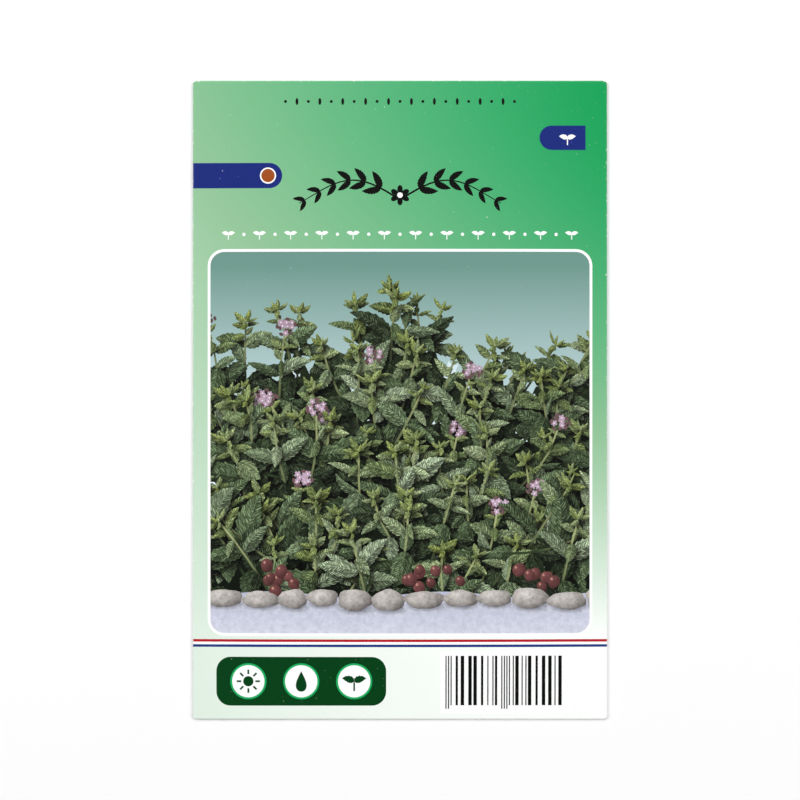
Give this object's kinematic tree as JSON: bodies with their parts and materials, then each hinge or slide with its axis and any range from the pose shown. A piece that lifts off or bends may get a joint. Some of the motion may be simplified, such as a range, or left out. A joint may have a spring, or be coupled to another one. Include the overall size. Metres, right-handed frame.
{
  "type": "seed packet",
  "caption": "Flat sealed paper seed packet: one folded printed envelope with lapped back seam and two glued end flaps, holding a foil sachet of seeds.",
  "frame": {"origin": "under the middle of the packet, on the surface that it lies on", "axes": "+X to the right of the printed front, +Y to its top edge, +Z out of the printed front"},
  "size_m": [0.105, 0.162, 0.0026],
  "materials": {
    "printed_paper": "coated paper, satin print on the outside, bare white inside",
    "dried_glue": "dried white glue, translucent",
    "sachet_foil": "crinkled satin foil laminate",
    "seed_coat": "dull dark brown seed coat"
  },
  "bodies": {
    "root": {"envelope": "printed_paper", "glue_back_seam": "dried_glue", "glue_bottom_flap": "dried_glue", "glue_top_flap": "dried_glue", "sachet_lower_web": "sachet_foil", "sachet_upper_web": "sachet_foil", "seeds": "seed_coat"}
  },
  "joints": []
}
